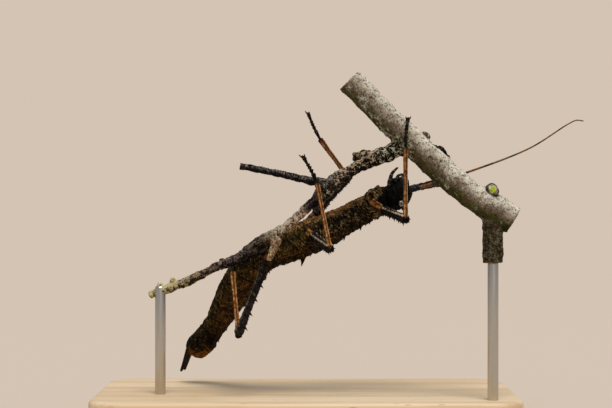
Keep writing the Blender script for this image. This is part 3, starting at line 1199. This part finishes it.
def hip_size(t):
    """Half width of a hip, which narrows evenly by a quarter."""
    return HIP * (1 - 0.25 * t)


def thigh_size(t):
    """Half width of a thigh, which narrows half way by a sine."""
    return THIGH * (1 - 0.24 * np.sin(math.pi * t))


def shin_size(t):
    """Half width of a shin, which is wider at both ends and narrows half way by a sine."""
    return SHIN * (1.15 - 0.3 * np.sin(math.pi * t))


def limb(start, end, edge, size, form, seed):
    """An oval at each step from start to end, rounded off at both, whose radius is raised over
    keels at even angles and by seeded knobs. Its tones are the angle from the edge, how deep a
    point lies between keels and how far along it lies."""
    flatness, keels, keel_height, knob_height, rows, sides = form
    t = (1 - np.cos(np.linspace(0, math.pi, rows))) / 2
    line = start + (end - start) * t[:, None]
    inset = np.minimum(t, 1 - t) * np.linalg.norm(end - start) / (0.8 * size(0.5))
    rounding = np.sqrt(1 - np.clip(1 - inset, 0, 0.96) ** 2)
    turns = full_turn(sides)
    ridge = np.clip(np.cos(keels * (turns - math.pi / keels)), -0.4, 1)
    deep = (size(t) * rounding)[:, None] * (1 + keel_height * ridge)
    grid = tube(line, deep, flatness * deep, edge, sides)
    lumps = knob_height * (ripple(grid, 1.4, seed) + 0.6 * ripple(grid, 0.7, seed + 1))
    middle = line[:, None]
    grid = middle + (grid - middle) * (1 + lumps[..., None])
    off = np.degrees(np.abs(np.arctan2(np.sin(turns), np.cos(turns)))) / 180
    along, off = np.meshgrid(t, off, indexing="ij")
    return wrap(grid, off=off, valley=np.repeat((1 - ridge[None]) / 1.4, rows, 0), along=along)


def toned(shell, **tones):
    """The shell with the same tones all over."""
    even = {name: np.full(len(shell["points"]), float(value)) for name, value in tones.items()}
    return {**shell, "tones": {**shell["tones"], **even}}


def toes(ankle, heel, tip, edge):
    """Five pads along a bent line: each widens to its far end, and its under side hangs lower."""
    line = bend([ankle, heel, tip], TOE_RINGS)
    t = np.linspace(0, 1, len(line))
    which = np.clip(np.searchsorted(TOE_ENDS, t, side="right") - 1, 0, len(TOE_ENDS) - 2)
    within = (t - TOE_ENDS[which]) / (TOE_ENDS[which + 1] - TOE_ENDS[which])
    size = FOOT * (0.72 + 0.5 * within**1.6 - 0.25 * hump(within, 1, 0.06))
    size *= np.sqrt(1 - np.clip((t - 0.96) / 0.04, 0, 0.97) ** 2)
    under = np.clip(-np.cos(full_turn(TOE_SIDES)), 0, 1)
    sole = 1 + 0.35 * hump(within, 0.8, 0.25)[:, None] * under
    return toned(wrap(tube(line, size[:, None] * sole, size, edge, TOE_SIDES)), dark=1)


def claw(tip, way, spread):
    """A cone along the foot that curves out to one side by a quarter of a sine wave."""
    t = np.linspace(0, 1, CLAW_RINGS)[:, None]
    line = tip + way * (CLAW_LENGTH * t - CLAW_SUNK) + spread * CLAW_SPREAD * np.sin(t * math.pi / 2)
    radius = 0.24 * (1 - t[:, 0]) ** 0.7 + 0.03
    return toned(wrap(tube(line, radius, radius, UPWARD + 0.2 * way, CLAW_SIDES)), dark=1)


def leg(name, seed):
    """The hip, its ring, the thigh with thorns, the two lobes of the knee, the shin and the foot,
    each a closed shell that runs into the next as the real plates overlap. A thorn or tooth
    stands at a share of the way between two joints, on the limb's half width there."""
    ways = [heading(*way) for way in LEG_WAYS[name]]
    steps = [way * length for way, length in zip(ways, LEG_LENGTHS[name.split("_")[0]])]
    root, hip, knee, ankle, heel, tip = np.cumsum([leg_root(name), *steps], axis=0)
    hip_way, thigh_way, shin_way, _, toe_way = ways
    edge = unit(-shin_way + (shin_way @ thigh_way) * thigh_way)
    flank = np.cross(thigh_way, edge)
    cream, sooty = LEG_TINTS[name]

    coxa = limb(root, hip + hip_way * HIP_OVERLAP, edge, hip_size, HIP_FORM, seed)
    ring = lobe(hip + hip_way * 0.1, thigh_way, edge, 0.9, 0.98, 0.92)
    thigh = limb(hip, knee + thigh_way * KNEE_OVERLAP, edge, thigh_size, THIGH_FORM, seed + 2)
    shin = limb(knee, ankle, edge, shin_size, SHIN_FORM, seed + 4)
    shells = [toned(coxa, dark=sooty, hip=1), toned(ring, dark=sooty + 0.2, hip=1),
              toned(thigh, dark=1, cream=cream), shin, toes(ankle, heel, tip, edge)]
    for sign in (-1, 1):
        middle = knee + thigh_way * 0.15 + sign * flank * 0.5 + edge * 0.1
        knee_lobe = lobe(middle, unit(thigh_way - 0.3 * edge), edge, 0.95, 0.8, 0.36)
        shells += [toned(knee_lobe, dark=1), claw(tip, toe_way, sign * flank)]

    for place in THIGH_THORNS:
        foot = hip + (knee - hip) * place + edge * thigh_size(place) * 0.9
        spike = thorn(foot, unit(edge + 0.25 * thigh_way), thigh_way, THIGH_THORN_HEIGHT)
        shells.append(toned(spike, dark=1))
    for out in (edge, edge + flank, edge - flank, flank, -flank):
        foot = knee + thigh_way * 0.2 + unit(out) * 0.75
        way = unit(out + 0.9 * thigh_way)
        spike = thorn(foot, way, thigh_way, KNEE_THORN_HEIGHT, *KNEE_THORN_FACES)
        shells.append(toned(spike, dark=1))
    for row, (to_edge, to_flank, height) in enumerate(TOOTH_ROWS):
        out = unit(to_edge * edge + to_flank * flank)
        for place in np.linspace(0.12 + 0.02 * row, 0.93, THIGH_TEETH):
            foot = hip + (knee - hip) * place + out * thigh_size(place) * 0.98
            shells.append(toned(thorn(foot, out, thigh_way, height, *THIGH_TOOTH_FACES), dark=1))
        for place in np.linspace(0.15 + 0.03 * row, 0.95, SHIN_TEETH):
            foot = knee + (ankle - knee) * place + out * shin_size(place) * 0.98
            shells.append(thorn(foot, out, shin_way, SHIN_TOOTH_HEIGHT, *SHIN_TOOTH_FACES))
    pad = lobe(tip + toe_way * 0.25, toe_way, edge, 0.3, 0.24, 0.3, rows=10, sides=14)
    return [*shells, toned(pad, dark=0.6)]


def leg_skin():
    """Orange-brown shins, dark between the keels and at both ends; redder hips, dark along one
    edge; black-brown thighs, knees and feet, flecked with tan, and a broken cream line along
    the thigh."""
    skin = Finish("leg_skin", Specular_IOR_Level=0.08)
    mottle = skin.noise(0.9, 4, roughness=0.6)
    fine = skin.noise(0.3, 3)
    grain = mottle * 0.6 + fine * 0.4
    along, off, valley = skin.tone("along"), skin.tone("off"), skin.tone("valley")
    orange = skin.ramp(grain, (0.4, (98, 55, 19)), (0.5, (154, 101, 50)), (0.61, (208, 158, 104)))
    red = skin.ramp(grain, (0.42, (62, 32, 11)), (0.5, (146, 90, 38)), (0.6, (198, 134, 74)))
    black = skin.ramp(grain, (0.44, (4, 2, 2)), (0.52, (21, 14, 9)), (0.59, (46, 35, 24)),
                      (0.67, (112, 94, 72)))
    ends = skin.step(along, 0.93, 1.0) * 0.9 + skin.step(along, 0.04, 0.0) * 0.7
    cream = skin.tone("cream") * skin.step(off, 0.66, 0.71) * skin.step(off, 0.85, 0.79)
    cream = cream * skin.step(grain + along * 0.1, 0.45, 0.54)

    shin = skin.layers(
        orange,
        (paint(46, 24, 9), skin.step(valley + fine * 0.5, 0.75, 1.15) * 0.8),
        (paint(20, 13, 8), ends),
    )
    hip = skin.layers(
        red,
        (paint(30, 16, 7), skin.step(valley + fine * 0.6, 0.9, 1.2) * 0.7),
        (paint(22, 13, 7), skin.step(off, 0.5, 0.34) * 0.85),
    )
    thigh = skin.layers(black, (paint(196, 178, 150), cream * 0.9))
    colour = skin.layers(shin, (hip, skin.tone("hip")), (thigh, skin.tone("dark")))
    return skin.shade(colour, 0.6 + mottle * 0.2, fine + mottle * 0.6, 0.07, 0.8)


LEG_SKIN = leg_skin()
for seed, name in enumerate(LEG_WAYS):
    piece(f"leg_{name}", life_size(leg(name, 50 + 10 * seed)), LEG_SKIN, "leg_brown",
          *(f"{part}_{name}" for part in ("coxa", "femur", "tibia", "tarsus")))


# ==== studio ====
# A pale floor that runs out of sight into a backdrop of its own colour, a soft key light
# from above, a wide weak one from the front, and a level camera with a long lens.
FLOOR_RADIUS, FLOOR_SIDES = 6.0, 96
FLOOR_PAINT = np.array([0.60, 0.50, 0.41, 1.0])
KEY_PLACE = np.array([0.08, -0.32, 0.85])
KEY_POWER, KEY_SPREAD = 2.5, 0.5  # the spread is an angle in radians
FRONT_PLACE, FRONT_TARGET = (0.25, -1.0, 0.4), (0, 0, 0.05)
FRONT_POWER, FRONT_WIDTH = 0.5, 0.7
SKY_POWER = 0.36
EYE_LEVEL = 50 * MM
CAMERA_BACK = -411 * MM
LENS, SENSOR = 100, 36  # mm, as a camera's data takes them
NEAREST_SEEN = 0.01

around = full_turn(FLOOR_SIDES)
rim = FLOOR_RADIUS * np.stack([np.cos(around), np.sin(around), np.zeros(FLOOR_SIDES)], -1)
here = np.arange(FLOOR_SIDES)
fan = np.stack([np.full(FLOOR_SIDES, FLOOR_SIDES), here, np.roll(here, -1)], -1)
disc = {"points": np.vstack([rim, [[0, 0, 0]]]), "quads": np.empty((0, 4), int), "fans": fan,
        "tones": {}}
floor_mesh = mesh_of("floor", disc)
floor = bpy.data.objects.new("floor", floor_mesh)
bpy.context.scene.collection.objects.link(floor)
plaster = Finish("pale_plaster", Roughness=1.0, Specular_IOR_Level=0.0)
floor_mesh.materials.append(plaster.shade(FLOOR_PAINT.tolist()).material)

# The backdrop that the camera sees is as bright as the floor under both lights.
floor_light = KEY_POWER * KEY_PLACE[2] / np.linalg.norm(KEY_PLACE) / math.pi + SKY_POWER
world = bpy.data.worlds.new("studio")
bpy.context.scene.world = world
world.use_nodes = True
sky = world.node_tree.nodes
backdrop, seen, choice = (sky.new(f"ShaderNode{kind}") for kind in ("Background", "LightPath", "MixShader"))
sky["Background"].inputs["Strength"].default_value = SKY_POWER
sky["Background"].inputs["Color"].default_value = (1, 1, 1, 1)
backdrop.inputs["Color"].default_value = (FLOOR_PAINT * floor_light).tolist()
for output, socket in (
    (seen.outputs["Is Camera Ray"], choice.inputs[0]),
    (sky["Background"].outputs[0], choice.inputs[1]),
    (backdrop.outputs[0], choice.inputs[2]),
    (choice.outputs[0], sky["World Output"].inputs["Surface"]),
):
    world.node_tree.links.new(output, socket)


def lamp(name, kind, place, target, size, power, colour):
    """A soft light that faces its target: an area light of a width in metres, or a sun whose
    disc is as wide as an angle in radians."""
    light = bpy.data.lights.new(name, kind)
    light.energy, light.color = power, colour[:3]
    if kind == "SUN":
        light.angle = size
    else:
        light.size = size
    made = bpy.data.objects.new(name, light)
    made.location = place
    way = np.array(target) - np.array(place)
    made.rotation_euler = (math.atan2(math.hypot(way[0], way[1]), -way[2]), 0, math.atan2(-way[0], way[1]))
    bpy.context.scene.collection.objects.link(made)


lamp("key", "SUN", KEY_PLACE, (0, 0, 0), KEY_SPREAD, KEY_POWER, paint(255, 255, 255))
lamp("front", "AREA", FRONT_PLACE, FRONT_TARGET, FRONT_WIDTH, FRONT_POWER, paint(250, 248, 255))

camera = bpy.data.objects.new("camera", bpy.data.cameras.new("camera"))
camera.data.lens, camera.data.sensor_width = LENS, SENSOR
camera.data.clip_start = NEAREST_SEEN
camera.location = (0, CAMERA_BACK, EYE_LEVEL)
camera.rotation_euler = (math.pi / 2, 0, 0)
bpy.context.scene.collection.objects.link(camera)
bpy.context.scene.camera = camera
bpy.context.scene.view_settings.view_transform = "Standard"
